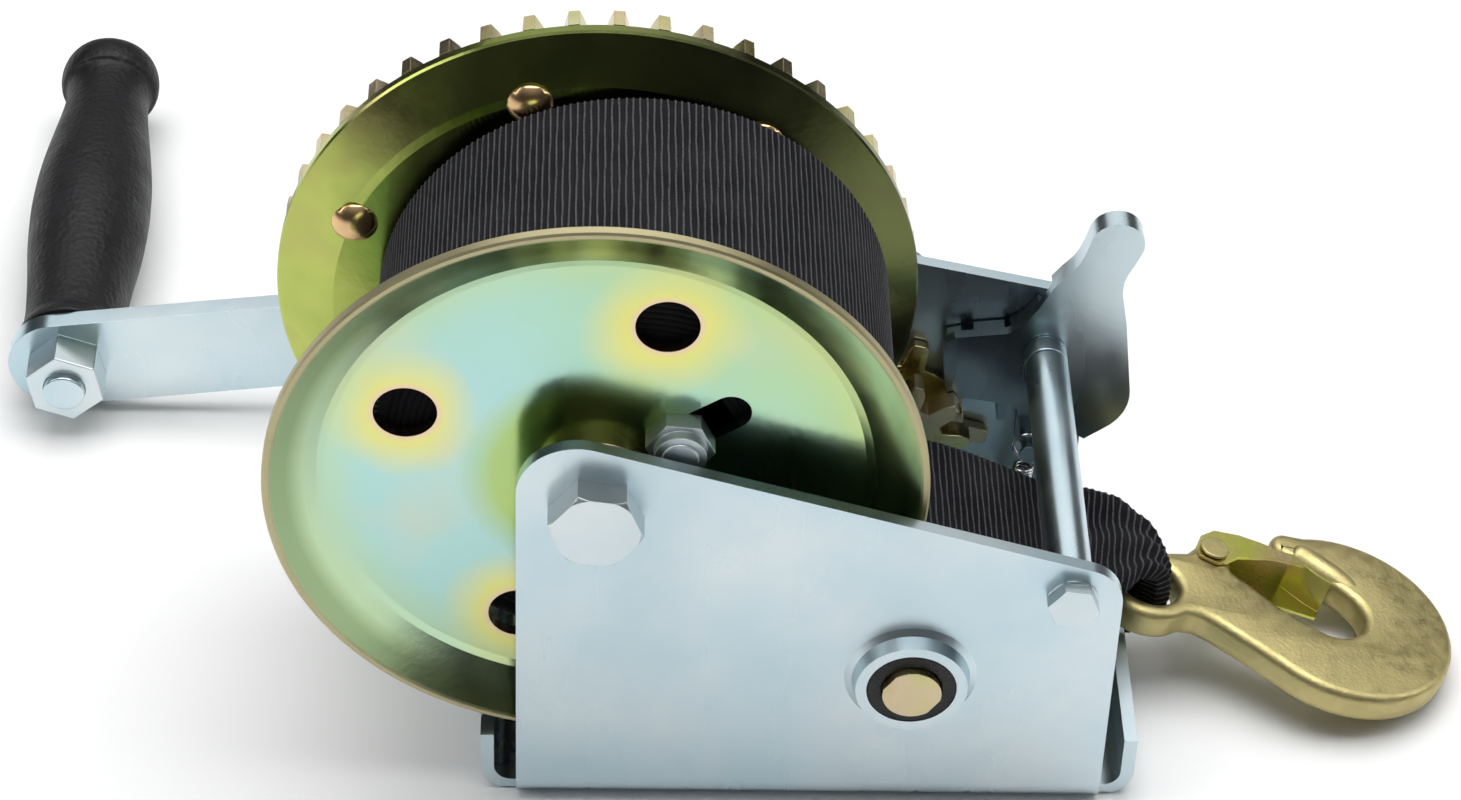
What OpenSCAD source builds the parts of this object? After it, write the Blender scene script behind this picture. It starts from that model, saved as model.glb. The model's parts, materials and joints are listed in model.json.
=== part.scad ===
// Boat trailer winch: strap drum and gear in a bent sheet frame, turned by a cranked pinion.
// X is the way the strap is pulled, Y is along the drum's axis from the plain side to the
// crank side, Z is up. The origin is the middle of the frame's mounting face.

/* [Frame] */
// Length of the base, over the two turned-up ends
base_len = 147; // [140:1:160]
// Width of the frame, over the two side plates
frame_w = 91; // [89:0.5:92]
// Thickness of the frame's sheet
sheet_t = 3; // [2.5:0.1:3.2]
// Outer radius of the frame's bends
bend_r = 7; // [5:0.5:9]
// Height of the turned-up ends
lip_h = 17; // [14:1:18]
// Length of each side plate
plate_len = 131; // [125:1:135]
// Height of the side plates at the drum end
plate_h = 106; // [103:1:108]
// Fall of the near side plate's top edge, in degrees
plate_fall = 17; // [14:0.5:18]
// Height of the gear-side plate at the drum end
gear_plate_h = 103; // [101:1:106]
// Fall of the gear-side plate's top edge, in degrees
gear_plate_fall = 13; // [12:0.5:18]
// Width of each mounting slot
slot_w = 10.5; // [8.5:0.5:11]
// Length of each mounting slot, end to end
slot_len = 18; // [14:1:22]
// Distance between the slots along the base
slot_dx = 96; // [80:2:100]
// Distance between the slots across the base
slot_dy = 48; // [40:2:56]

/* [Drum] */
// Height of the drum's axis above the mounting face
drum_z = 88; // [87:0.5:90]
// Radius of the plain-side flange
flange_r = 71; // [70:0.5:71.5]
// Radius of the flange beside the gear
rear_flange_r = 71.8; // [71:0.1:72]
// Thickness of the flanges' sheet
flange_t = 2.8; // [2:0.1:3]
// Space between the flanges' flat faces
drum_gap = 53; // [52:0.5:53]
// Width of the strap
strap_w = 49.5; // [48:0.5:50]
// Radius of the wound strap
roll_r = 56.5; // [50:0.5:56.5]
// Offset of the wound strap towards its anchor bolt
roll_offset = 9.5; // [4:0.5:9.5]
// Thickness of the strap
strap_t = 1.5; // [1.2:0.1:1.6]

/* [Gears] */
// Gear module
gear_m = 3; // [3:1:3]
// Teeth on the drum's gear
gear_z = 46; // [46:1:46]
// Teeth on the pinion
pinion_z = 10; // [10:1:10]
// Face width of the gear
gear_w = 5; // [4.5:0.5:5]

/* [Crank] */
// Distance from the pinion's axis to the grip's axis
arm_cc = 200; // [180:5:210]
// Width of the crank arm
arm_w = 25; // [22:1:28]
// Thickness of the crank arm
arm_t = 5; // [4:0.5:6]
// Largest radius of the grip
grip_r = 15; // [14:0.5:15]
// Length of the grip
grip_len = 115; // [100:1:118]

/* [Hook] */
// Thickness of the hook
hook_t = 8; // [7:0.5:8]
// Outer radius of the hook's bowl
bowl_r = 26.7; // [25:0.1:27]
// Distance from the eye to the middle of the bowl
bowl_dist = 48; // [46:1:50]

/* [Hidden] */
$fn = 96;

run_gap = 0.05;      // radial clearance of a running fit
still_gap = 0.3;     // clearance between pieces that pass each other

zinc = "lightsteelblue";
gold = "darkkhaki";
black = "dimgray";

// Places along Y
plate_out = frame_w / 2;
plate_in = plate_out - sheet_t;
drum_y = -4.3;
front_in = drum_y - drum_gap / 2;
rear_in = drum_y + drum_gap / 2;
rim_rise = 6;
rim_flat_r = 59;
front_out = front_in - flange_t;
rear_out = rear_in + flange_t;
gear_y = rear_out + rim_rise + 0.3;
roll_y0 = front_in + 0.3;
arm_y = 85;

// Axes, in X and Z
plate_x0 = -65.5;
drum_x = -48.5;
centre_dist = gear_m * (gear_z + pinion_z) / 2;
pinion_angle = -34.3;
pin_x = drum_x + centre_dist * cos(pinion_angle);
pin_z = drum_z + centre_dist * sin(pinion_angle);
tie_x = 54.5;
tie_z = 64.5;
anchor_r = 21;
anchor_angle = 33;
axle_r = 6;
shaft_r = 6.5;
tie_r = 3;
tube_r = 5;

// The crank hangs with its grip just above the surface that the winch stands on
grip_z = grip_r + 0.3;
arm_tilt = asin((pin_z - grip_z) / arm_cc);
grip_x = pin_x - arm_cc * cos(arm_tilt);

// The hook's eye rests over the frame's turned-up end, and its bowl on the ground
hook_x = 77.6;
hook_y = 2.5;
hook_tilt = 13.4;
bowl_far = bowl_dist + bowl_r;
hook_z = bowl_far * sin(hook_tilt) + 0.3;
eye_r = 12;
eye_hole_r = 7.2;
latch_px = 16.5;
latch_py = 13;

// ---------------------------------------------------------------- helpers

// A cylinder along Y, from y0 to y1, about the axis at x, z
module rod(x, z, r, y0, y1, fn = 96) {
    translate([x, y0, z]) rotate([-90, 0, 0]) cylinder(r = r, h = y1 - y0, $fn = fn);
}

// A tube along Y
module tube(x, z, r, bore, y0, y1) {
    difference() {
        rod(x, z, r, y0, y1);
        rod(x, z, bore, y0 - 1, y1 + 1);
    }
}

// A hexagon prism along Y, across flats af
module hex_y(x, z, af, y0, y1, turn = 0) {
    translate([x, y0, z]) rotate([0, turn, 0]) rotate([-90, 0, 0])
        cylinder(d = af / cos(30), h = y1 - y0, $fn = 6);
}

// An outline in X and Z made into a plate from y0 to y1
module plate_y(y0, y1) {
    translate([0, y1, 0]) rotate([90, 0, 0]) linear_extrude(y1 - y0) children();
}

// A slot with round ends, along X
module slot_2d(length, width) {
    for (side = [-1, 1]) translate([side * (length - width) / 2, 0]) circle(d = width, $fn = 48);
    square([length - width, width], center = true);
}

// ---------------------------------------------------------------- frame

// Base with its two turned-up ends, seen along Y
module base_profile() {
    half = base_len / 2;
    inner_r = bend_r - sheet_t;
    difference() {
        union() {
            translate([-half, bend_r]) square([base_len, lip_h - bend_r]);
            translate([-half + bend_r, 0]) square([base_len - 2 * bend_r, bend_r]);
            for (side = [-1, 1]) translate([side * (half - bend_r), bend_r]) circle(bend_r);
        }
        translate([-half + sheet_t, bend_r]) square([base_len - 2 * sheet_t, lip_h]);
        translate([-half + bend_r, sheet_t]) square([base_len - 2 * bend_r, lip_h]);
        for (side = [-1, 1]) translate([side * (half - bend_r), bend_r]) circle(inner_r);
    }
}

// The frame's U, seen along X
module u_profile() {
    inner_r = bend_r - sheet_t;
    difference() {
        union() {
            translate([-plate_out, bend_r]) square([frame_w, plate_h - bend_r]);
            translate([-plate_out + bend_r, 0]) square([frame_w - 2 * bend_r, bend_r + 1]);
            for (side = [-1, 1]) translate([side * (plate_out - bend_r), bend_r]) circle(bend_r);
        }
        translate([-plate_in, bend_r]) square([2 * plate_in, plate_h]);
        translate([-plate_out + bend_r, sheet_t]) square([frame_w - 2 * bend_r, plate_h]);
        for (side = [-1, 1]) translate([side * (plate_out - bend_r), bend_r]) circle(inner_r);
    }
}

// Side plate's outline, with its two rounded top corners
module side_outline(h, fall) {
    top_r0 = 13;
    top_r1 = 10;
    x1 = plate_x0 + plate_len;
    c0 = [plate_x0 + top_r0, h - top_r0];
    run = plate_len - top_r0 - top_r1;
    // Height of the second corner's centre, so that the top edge has its fall
    z1 = c0[1] - (run * sin(fall) - (top_r0 - top_r1)) / cos(fall);
    n = [sin(fall), cos(fall)];
    translate(c0) circle(top_r0);
    translate([x1 - top_r1, z1]) circle(top_r1);
    polygon([[plate_x0, 0], [x1, 0], [x1, z1], [x1 - top_r1, z1] + top_r1 * n,
             c0 + top_r0 * n, [plate_x0, c0[1]]]);
}

boss_h = 4.2;
lip_y = 41.5;

module frame() color(zinc) {
    difference() {
        union() {
            intersection() {
                translate([plate_x0 - 20, 0, 0]) rotate([90, 0, 90])
                    linear_extrude(plate_len + 40) u_profile();
                union() {
                    plate_y(-plate_out - 1, 0) side_outline(plate_h, plate_fall);
                    plate_y(0, plate_out + 1) side_outline(gear_plate_h, gear_plate_fall);
                }
            }
            intersection() {
                plate_y(-lip_y, lip_y) base_profile();
                translate([-base_len / 2 - 1, 0, 0]) rotate([90, 0, 90])
                    linear_extrude(base_len + 2) union() {
                        translate([-plate_out, bend_r]) square([frame_w, lip_h]);
                        translate([-plate_out + bend_r, 0])
                            square([frame_w - 2 * bend_r, bend_r + 1]);
                        for (side = [-1, 1])
                            translate([side * (plate_out - bend_r), bend_r]) circle(bend_r);
                    }
            }
            // Pressed collar that holds the pinion shaft's bush
            translate([pin_x, -plate_out + 0.01, pin_z]) rotate([90, 0, 0])
                rotate_extrude() polygon([[0, 0], [14.6, 0], [13, 1], [12.3, boss_h], [0, boss_h]]);
        }
        rod(pin_x, pin_z, 9.9, -plate_out - boss_h - 1, -plate_in + 1);
        rod(pin_x, pin_z, 9.9, plate_in - 1, plate_out + 1);
        rod(drum_x, drum_z, axle_r + 0.15, -plate_out - 1, plate_out + 1);
        rod(tie_x, tie_z, tie_r + 0.15, -plate_out - 1, plate_out + 1);
        rod(post_x, post_z, 2.01, plate_in - 1, plate_out + 1);
        for (sx = [-1, 1], sy = [-1, 1])
            translate([sx * slot_dx / 2, sy * slot_dy / 2, -1])
                linear_extrude(sheet_t + 2) slot_2d(slot_len, slot_w);
    }
}

// Flanged nylon bush of the pinion shaft, with its flange inside or outside the plate
module bush(y0, y1, flange_y0, flange_y1) {
    difference() {
        union() {
            rod(pin_x, pin_z, 9.85, y0, y1);
            rod(pin_x, pin_z, 12.5, flange_y0, flange_y1);
        }
        rod(pin_x, pin_z, shaft_r + run_gap, y0 - 2, y1 + 2);
    }
}

module pinion_bush() color(black)
    bush(-plate_out - boss_h, -plate_in, -plate_in, -plate_in + 1.5);

module rear_bush() color(black)
    bush(plate_in, plate_out, plate_out, plate_out + 1.5);

module axle_bolt() color(zinc) {
    rod(drum_x, drum_z, axle_r, -plate_out - 1, plate_out + 13);
    intersection() {
        hex_y(drum_x, drum_z, 18, -plate_out - 6.5, -plate_out, 8);
        translate([drum_x, -plate_out, drum_z]) rotate([90, 0, 0])
            cylinder(r1 = 16, r2 = 9.4, h = 6.5);
    }
}

module axle_nut() color(zinc) difference() {
    union() {
        rod(drum_x, drum_z, 12, plate_out, plate_out + 2);
        hex_y(drum_x, drum_z, 18, plate_out + 2, plate_out + 12, 20);
    }
    rod(drum_x, drum_z, axle_r + 0.01, plate_out - 1, plate_out + 14);
}

// Two loose spacers that keep the drum off the side plates
module axle_spacers() color(gold) {
    tube(drum_x, drum_z, 7.2, axle_r + 0.1, -plate_in, hub_y0 - still_gap);
    tube(drum_x, drum_z, 9, axle_r + 0.1, hub_y1 + still_gap, plate_in);
}

module tie_bolt() color(zinc) {
    rod(tie_x, tie_z, tie_r, -plate_out - 1, plate_out + 8);
    hex_y(tie_x, tie_z, 10, -plate_out - 3.6, -plate_out, 8);
    rod(tie_x, tie_z, 5.6, -plate_out - 0.5, -plate_out);
}

module tie_nut() color(zinc) difference() {
    union() {
        rod(tie_x, tie_z, 6, plate_out, plate_out + 1.2);
        hex_y(tie_x, tie_z, 10, plate_out + 1.2, plate_out + 6.2);
    }
    rod(tie_x, tie_z, tie_r + 0.01, plate_out - 1, plate_out + 9);
}

// Rolled tube over the tie bolt, which keeps the side plates apart
module tie_tube() color(zinc)
    tube(tie_x, tie_z, tube_r, tie_r + 0.4, -plate_in, sleeve_y0 - still_gap);

// Shouldered sleeve that the pawl turns on, clamped between the tube and the rear plate
sleeve_y0 = 32;

module pawl_sleeve() color(zinc) difference() {
    union() {
        rod(tie_x, tie_z, tube_r, sleeve_y0, pawl_y0 - still_gap);
        rod(tie_x, tie_z, 4.5, sleeve_y0, plate_in);
    }
    rod(tie_x, tie_z, tie_r + 0.1, sleeve_y0 - 1, plate_in + 1);
}

// Rivet in the rear plate that holds the pawl spring's fixed end
module spring_post() color(zinc) {
    rod(post_x, post_z, 2, spring_y - 2.5, plate_out + 0.5);
    rod(post_x, post_z, 3.2, spring_y - 3.5, spring_y - 1.5);
    rod(post_x, post_z, 3.2, spring_y + 1.5, plate_in);
    rod(post_x, post_z, 3.8, plate_out, plate_out + 1.6);
}

// ---------------------------------------------------------------- drum

hub_y0 = front_out - 4;
hub_y1 = gear_y + gear_w + 0.5;
hub_r = 12.5;
hole_angles = [71, 157, 248, 336];
rivet_count = 7;
rivet_r = 58.5;

// Dished disc: flat to rim_flat_r, then a rim that leans away from the strap
module flange_disc(side, r) {
    translate([drum_x, side > 0 ? rear_in : front_in, drum_z])
        rotate([side > 0 ? -90 : 90, 0, 0]) rotate_extrude()
            polygon([[0, 0], [rim_flat_r, 0], [rim_flat_r + 2, 0.5], [r - 0.4, rim_rise],
                     [r, rim_rise + 0.5], [r, rim_rise + flange_t - 0.4],
                     [r - 0.5, rim_rise + flange_t], [r - 1.4, rim_rise + flange_t],
                     [rim_flat_r + 0.6, flange_t + 0.5], [rim_flat_r - 1.2, flange_t],
                     [0, flange_t]]);
}

module drum_hole(r, angle, hole_r, y0, y1)
    rod(drum_x + r * cos(angle), drum_z + r * sin(angle), hole_r, y0, y1);

module front_flange() color(gold) difference() {
    flange_disc(-1, flange_r);
    rod(drum_x, drum_z, hub_r + 0.01, -plate_out, plate_out);
    for (a = hole_angles) drum_hole(44, a, 6.8, -plate_out, 0);
    translate([drum_x, 0, drum_z]) rotate([90, 0, 0]) rotate([0, 0, anchor_angle])
        translate([26.5, 0, 0]) linear_extrude(plate_out) slot_2d(23, 9);
}

module rear_flange() color(gold) difference() {
    flange_disc(1, rear_flange_r);
    rod(drum_x, drum_z, hub_r + 0.01, -plate_out, plate_out);
    drum_hole(anchor_r, anchor_angle, 4.2, 0, plate_out);
    for (i = [0 : rivet_count - 1])
        drum_hole(rivet_r, 105 + i * 360 / rivet_count, 3.05, 0, plate_out);
}

module drum_hub() color(gold)
    tube(drum_x, drum_z, hub_r, axle_r + run_gap, hub_y0, hub_y1);

// Gear tooth: flanks in two straight steps, thinner at the tip
module tooth(m, pitch_r, root_w, tip_w) {
    root = pitch_r - 1.25 * m;
    tip = pitch_r + 0.85 * m;
    polygon([[root - 1, -root_w / 2], [root, -root_w / 2], [pitch_r, -m * 0.7],
             [tip, -tip_w / 2], [tip, tip_w / 2], [pitch_r, m * 0.7],
             [root, root_w / 2], [root - 1, root_w / 2]]);
}

module gear_2d(m, z, turn, root_w, tip_w) {
    pitch_r = m * z / 2;
    circle(pitch_r - 1.25 * m);
    for (i = [0 : z - 1]) rotate(turn + i * 360 / z) tooth(m, pitch_r, root_w, tip_w);
}

module main_gear() color(gold) difference() {
    union() {
        translate([drum_x, gear_y + gear_w, drum_z]) rotate([90, 0, 0])
            linear_extrude(gear_w)
                gear_2d(gear_m, gear_z, pinion_angle + 180 / gear_z, 5.8, 2.4);
        rod(drum_x, drum_z, rim_flat_r - 1.5, rear_out, gear_y + 0.01);
    }
    rod(drum_x, drum_z, 50, rear_out + 5.5, plate_out);
    rod(drum_x, drum_z, hub_r + 0.01, 0, plate_out);
    drum_hole(anchor_r, anchor_angle, 4.2, 0, plate_out);
    for (i = [0 : rivet_count - 1])
        drum_hole(rivet_r, 105 + i * 360 / rivet_count, 3.05, 0, plate_out);
}

// Dome-headed rivets through the rear flange and the gear's web
module gear_rivets() color("peru")
    for (i = [0 : rivet_count - 1]) {
        a = 105 + i * 360 / rivet_count;
        x = drum_x + rivet_r * cos(a);
        z = drum_z + rivet_r * sin(a);
        head_r = 5.2;
        head_h = 2.7;
        sphere_r = (head_r * head_r + head_h * head_h) / (2 * head_h);
        rod(x, z, 3, rear_in, gear_y + gear_w, 32);
        intersection() {
            translate([x, rear_in - head_h + sphere_r, z]) sphere(sphere_r, $fn = 48);
            rod(x, z, head_r + 1, rear_in - head_h - 1, rear_in);
        }
        rod(x, z, 4.4, gear_y + gear_w, gear_y + gear_w + 0.5, 32);
    }

anchor_x = drum_x + anchor_r * cos(anchor_angle);
anchor_z = drum_z + anchor_r * sin(anchor_angle);

module anchor_bolt() color(zinc) {
    rod(anchor_x, anchor_z, 4, front_out - 7.6, rear_out + 6);
    hex_y(anchor_x, anchor_z, 13, rear_out + 5.5, rear_out + 10.8);
}

module anchor_nut() color(zinc) difference() {
    union() {
        hex_y(anchor_x, anchor_z, 13, front_out - 4.6, front_out, 5);
        rod(anchor_x, anchor_z, 5.6, front_out - 7, front_out - 4.6);
    }
    rod(anchor_x, anchor_z, 4.01, -plate_out, front_out + 1);
}

// The wound strap, off centre towards the anchor bolt
module strap_roll() color(black) difference() {
    rod(drum_x + roll_offset * cos(anchor_angle), drum_z + roll_offset * sin(anchor_angle),
        roll_r, roll_y0, roll_y0 + strap_w, 180);
    rod(drum_x, drum_z, hub_r + 0.05, -plate_out, plate_out);
    rod(anchor_x, anchor_z, 4.05, -plate_out, plate_out);
}

// ---------------------------------------------------------------- strap tail

sweep_r = roll_r + roll_offset + 0.6;
// Ways of the strap's middle line, in X and Z: along the drum's underside, then under the tie
// tube, over the frame's end, round the hook's eye and back to itself
lap_way = [[-30, 33.4], [-20, 37], [-12, 41.2], [-4, 45.6], [4, 49.4], [9, 51.3]];
tail_way = [[4, 49.4], [9, 51.3], [14, 52.7], [20, 53.4], [27, 52.6], [34, 50.2], [42, 46.6],
            [50, 42.6], [57, 39.8], [63, 38.5], [69, 38.2], [74.5, 37.6], [78.6, 35.2],
            [80.6, 31], [81, 26], [80.2, 21.6], [77.6, 18.8], [73, 17.9], [67, 17.9],
            [62.6, 19.6], [59.4, 24.5], [57, 31], [53, 37.2], [46, 41.9]];
// Edges of the strap seen from above: the upper run, and the lower run through the hook's eye
upper_edge = [[0, roll_y0 + strap_w], [44, roll_y0 + strap_w], [58, hook_y + 16.4],
              [66, hook_y + 15], [71, hook_y + 12.8], [75, hook_y + 9.4], [78.5, hook_y + 6.4],
              [80, hook_y + 4.6], [84, hook_y + 4.6]];
lower_edge = [[0, roll_y0 + strap_w], [44, roll_y0 + strap_w], [58, hook_y + 16.4],
              [61, hook_y + 15.6], [66, hook_y + 4.7], [84, hook_y + 4.7]];

function unit(v) = v / norm(v);

// A smooth line through the points of a way, four steps to each stretch
function smooth(p) = [for (i = [0 : len(p) - 2], k = [0 : 3])
    let (t = k / 4, a = p[max(i - 1, 0)], b = p[i], c = p[i + 1], d = p[min(i + 2, len(p) - 1)])
    b + (c - a) * t / 2 + (2 * a - 5 * b + 4 * c - d) * t * t / 2
        + (3 * b - a - 3 * c + d) * t * t * t / 2];

function way_normal(p, i) =
    let (a = p[max(i - 1, 0)], b = p[min(i + 1, len(p) - 1)], d = unit(b - a)) [-d[1], d[0]];

// A strip of the strap's thickness along a way
module strip_2d(way) {
    p = smooth(way);
    polygon(concat(
        [for (i = [0 : len(p) - 1]) p[i] + way_normal(p, i) * strap_t / 2],
        [for (i = [len(p) - 1 : -1 : 0]) p[i] - way_normal(p, i) * strap_t / 2]));
}

// Last stretch of strap between the flanges, which turns with the roll
module strap_lap() color(black) plate_y(roll_y0, roll_y0 + strap_w) difference() {
    intersection() {
        strip_2d(lap_way);
        translate([drum_x, drum_z]) circle(sweep_r, $fn = 180);
    }
    translate([drum_x + roll_offset * cos(anchor_angle),
               drum_z + roll_offset * sin(anchor_angle)]) circle(roll_r + 0.02, $fn = 180);
}

lower_top = 26;

// The far edge of the strap, and its near edge, where it is gathered less by near_part
module tail_outline(edge, near_part) {
    full = (hook_y - roll_y0) / (roll_y0 + strap_w - hook_y);
    near = [for (i = [len(edge) - 1 : -1 : 0]) [edge[i][0],
        hook_y - (edge[i][1] - hook_y) * (edge[i][0] < 65 ? full : near_part)]];
    polygon(concat(edge, near));
}

// Strap from the drum to the hook, gathered towards the hook's eye and sewn back on itself
module strap_tail() color(black) intersection() {
    plate_y(roll_y0, roll_y0 + strap_w) difference() {
        strip_2d(tail_way);
        translate([drum_x, drum_z]) circle(sweep_r + 0.35, $fn = 180);
    }
    union() {
        translate([0, 0, lower_top]) linear_extrude(40) tail_outline(upper_edge, 1.25);
        linear_extrude(lower_top) tail_outline(lower_edge, 1);
    }
}

// ---------------------------------------------------------------- pinion shaft and crank

// Turns the crank's pieces from level to their rest place
module crank_place() translate([pin_x, 0, pin_z]) rotate([0, -arm_tilt, 0]) children();

module pinion_shaft() color(gold) difference() {
    union() {
        rod(pin_x, pin_z, shaft_r, -plate_out - 6, plate_out + 30);
        rod(pin_x, pin_z, 5, plate_out + 29, arm_y + arm_t + 12);
    }
    // Flats at the plain end, and the two flats that the arm sits on
    for (side = [-1, 1]) translate([pin_x, 0, pin_z]) rotate([0, 35, 0])
        translate([side * 11.3, -plate_out - 6, 0]) cube([10.4, 6, 20], center = true);
}

module pinion() color(gold) difference() {
    union() {
        translate([pin_x, gear_y + gear_w + 0.2, pin_z]) rotate([90, 0, 0])
            linear_extrude(gear_w + 0.2)
                gear_2d(gear_m, pinion_z, pinion_angle + 180, 4.8, 2.1);
        rod(pin_x, pin_z, 11, gear_y + gear_w, wheel_y0);
    }
    rod(pin_x, pin_z, shaft_r + 0.01, 0, plate_out);
}

// Ratchet wheel: square-cut teeth that the pawl can hold either way
module ratchet_wheel() color(gold) difference() {
    plate_y(wheel_y0, wheel_y1) translate([pin_x, pin_z]) {
        circle(16.5);
        for (i = [0 : 7]) rotate(i * 45 + wheel_turn)
            polygon([[15, -2.9], [22, -2.2], [23, -1.4], [23, 1.4], [22, 2.2], [15, 2.9]]);
    }
    rod(pin_x, pin_z, shaft_r + 0.01, 0, plate_out);
}

// Collar on the shaft inside the plain side plate
module shaft_collar() color(gold)
    tube(pin_x, pin_z, 10, shaft_r + 0.01, -plate_in + 1.5 + still_gap, -plate_in + 8);

module crank_arm() color(zinc) difference() {
    crank_place() union() {
        plate_y(arm_y, arm_y + arm_t) difference() {
            union() {
                circle(d = arm_w);
                translate([-arm_cc - 2, 0]) circle(d = arm_w);
                translate([-arm_cc - 2, -arm_w / 2]) square([arm_cc + 2, arm_w]);
            }
            translate([-arm_cc, 0]) circle(5.05);
        }
    }
    rod(pin_x, pin_z, 5.01, 0, arm_y + 30);
}

module crank_nut() color(zinc) difference() {
    hex_y(pin_x, pin_z, 17, arm_y + arm_t, arm_y + arm_t + 9, 14);
    rod(pin_x, pin_z, 5.01, 0, arm_y + 30);
}

// Shouldered bolt that the grip turns on
module grip_bolt() color(zinc) {
    rod(grip_x, grip_z, 5, arm_y - 11, arm_y + arm_t + grip_len - 6);
    rod(grip_x, grip_z, 8, arm_y + arm_t + grip_len - 6, arm_y + arm_t + grip_len - 2);
}

module grip_nut() color(zinc) difference() {
    hex_y(grip_x, grip_z, 17, arm_y - 9, arm_y, 20);
    rod(grip_x, grip_z, 5.01, 0, arm_y + 1);
}

// Moulded grip, from the arm outwards
module grip() color(black) translate([grip_x, arm_y + arm_t + still_gap, grip_z])
    rotate([-90, 0, 0]) rotate_extrude()
        polygon([[5.1, 0], [13.6, 0], [13.2, 2.5], [12.3, 5], [12.3, 14], [13.2, 26], [14.4, 38],
                 [grip_r, 50], [14.9, 58], [14.3, 68], [12.9, 80], [11.3, 92], [10.7, 99],
                 [10.8, 103], [12.2, 105.5], [12.8, 108], [12.5, 111], [11, grip_len],
                 [8.6, grip_len], [8.6, grip_len - 7], [5.1, grip_len - 7]]);

// Snap-in plug that closes the grip's outer end over the bolt's head
module grip_cap() color(black)
    rod(grip_x, grip_z, 8.55, arm_y + arm_t + grip_len - 1.6, arm_y + arm_t + grip_len + 0.3);

// ---------------------------------------------------------------- pawl

pawl_y0 = gear_y + gear_w + 0.5;
pawl_t = 2.5;
wheel_y0 = pawl_y0 + pawl_t + 0.3;
wheel_y1 = plate_in - 0.3;
wheel_turn = 31.5;
tab_y = wheel_y1 - 0.2;
spring_y = 32.4;
// The spring's two ends stand on one line through the pawl's pivot
pin_dist = 25.1;
post_dist = 47.6;
spring_lean = 5.25;
post_x = tie_x - post_dist * sin(spring_lean);
post_z = tie_z - post_dist * cos(spring_lean);
eye_x = tie_x - pin_dist * sin(spring_lean);
eye_z = tie_z - pin_dist * cos(spring_lean);

// Upper edge of the pawl, from its nose along the lever, and the round of the lever's tip
pawl_edge = [[31.2, 66.5], [33.5, 68.3], [38, 68.9], [45.7, 69.8], [47.8, 71.2], [49.5, 73],
             [52.2, 77.4], [54.9, 83], [57.2, 86.2], [59.4, 88.8], [60.7, 91.3], [61.6, 94]];
lever_edge = [for (k = [7 : 11]) pawl_edge[k]];
function tip_arc(r, a0, a1) =
    [for (k = [0 : 12]) let(a = a0 + (a1 - a0) * k / 12) [68.5 + r * cos(a), 96 + r * sin(a)]];

// Pawl: stamped plate with a thumb lever, edges bent back, and two bent teeth for the wheel
module pawl() color(zinc) difference() {
    union() {
        plate_y(pawl_y0, pawl_y0 + pawl_t) polygon(concat([[31.2, 62]], pawl_edge,
            tip_arc(6.2, 160, -12),
            [[72.9, 90.4], [71.6, 87.6], [70.9, 85], [70.9, 82], [72.6, 73.2], [75.2, 53],
             [75.3, 50.8], [75, 48.6], [74.3, 46.4], [73.1, 44.3], [71.6, 42.6], [69.8, 41.1],
             [65.7, 38], [57.4, 43.7], [54.6, 45], [54.8, 38.5],
             [53.6, 36.6], [50.6, 36.6], [49.4, 38.5], [49.4, 46.8], [43.6, 49], [34, 50.6],
             [32.4, 52]]));
        // Upper tooth, lower tooth, and the two short bends of the upper edge
        plate_y(pawl_y0, tab_y) polygon([[31.7, 61.5], [34.7, 61.5], [35.2, 67.8], [32, 67]]);
        plate_y(pawl_y0, tab_y) polygon([[44.9, 43.5], [47.7, 43.9], [48, 50], [44.8, 49.4]]);
        plate_y(pawl_y0, tab_y) polygon([[38, 66.9], [45, 67.7], [45, 69.72], [38, 68.9]]);
        plate_y(pawl_y0, tab_y) polygon([[46.4, 70.4], [49.5, 73], [52.2, 77.4], [53.8, 76.4],
                                         [51, 71.8], [47.6, 68.8]]);
        // Bend along the lever and round its tip
        plate_y(pawl_y0, tab_y)
            polygon(concat(lever_edge, tip_arc(6.2, 160, -12), tip_arc(4.1, -12, 160),
                           [[63.6, 93.4], [62.8, 90.8], [61.2, 87.8], [58.9, 84.9],
                            [56.6, 81.9]]));
        // Pin that the spring hangs on
        rod(eye_x, eye_z, 1.5, spring_y - 2.6, pawl_y0 + 0.5, 32);
        rod(eye_x, eye_z, 2.3, spring_y - 3.4, spring_y - 2.5, 32);
    }
    rod(tie_x, tie_z, 4.55, 0, plate_out);
}

// Puts a piece drawn with the fixed end at the origin and its other end up Z in the spring's place
module spring_place()
    translate([post_x, spring_y, post_z]) rotate([0, atan2(eye_x - post_x, eye_z - post_z), 0])
        children();

module pawl_spring() color(zinc) spring_place() {
    reach = norm([eye_x - post_x, eye_z - post_z]);
    wire = 0.6;
    translate([0, 0, 5]) difference() {
        cylinder(r = 2.6, h = reach - 10.6);
        translate([0, 0, -1]) cylinder(r = 1.4, h = reach);
    }
    rotate([90, 0, 0]) rotate_extrude() translate([2.05 + wire, 0]) circle(wire, $fn = 24);
    translate([0, 0, reach]) rotate([90, 0, 0])
        rotate_extrude() translate([2.8 + wire, 0]) circle(wire, $fn = 24);
    translate([0, 0, 2.6]) cylinder(r = wire, h = 3, $fn = 24);
    translate([0, 0, reach - 6.4]) cylinder(r = wire, h = 3, $fn = 24);
    translate([0, 0, 5]) cylinder(r = 2, h = 0.8);
    translate([0, 0, reach - 6.4]) cylinder(r = 2, h = 0.8);
}

// ---------------------------------------------------------------- hook

// Puts a piece drawn flat in X and Y, with the eye at the origin, in the hook's place
module hook_place() translate([hook_x, hook_y, hook_z]) rotate([0, hook_tilt, 0]) children();

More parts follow.
